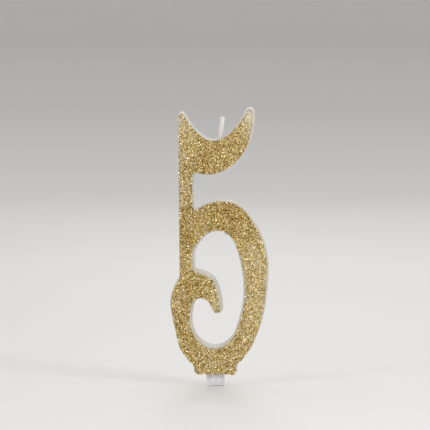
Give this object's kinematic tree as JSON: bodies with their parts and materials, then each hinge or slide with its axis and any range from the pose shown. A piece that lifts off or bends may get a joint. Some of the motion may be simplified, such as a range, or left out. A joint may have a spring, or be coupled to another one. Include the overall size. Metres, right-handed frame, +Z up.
{
  "type": "number birthday candle",
  "caption": "Flat wax numeral-five birthday candle with a glittered front, a short waxed wick and a plastic tab under its foot that pushes into a cake.",
  "frame": {"origin": "where the tab leaves the flat underside of the foot, half-way through the thickness of the wax", "axes": "+Z up along the numeral, the glitter face looks along -Y, +X to the reader's right"},
  "size_m": [0.0639, 0.0126, 0.18],
  "materials": {
    "wax": "white paraffin wax, satin and slightly translucent",
    "adhesive": "clear lacquer, tinted by the glitter set in it",
    "glitter": "pale gold metallised film flakes, sparkling",
    "cotton": "braided undyed cotton",
    "wick_wax": "dipped white wax, satin",
    "tab_plastic": "natural polypropylene, slightly translucent"
  },
  "bodies": {
    "root": {"wax_body": "wax", "glitter_adhesive": "adhesive", "glitter_coat": "glitter", "wick_core": "cotton", "wick_wax_coat": "wick_wax", "base_tab": "tab_plastic"}
  },
  "joints": []
}
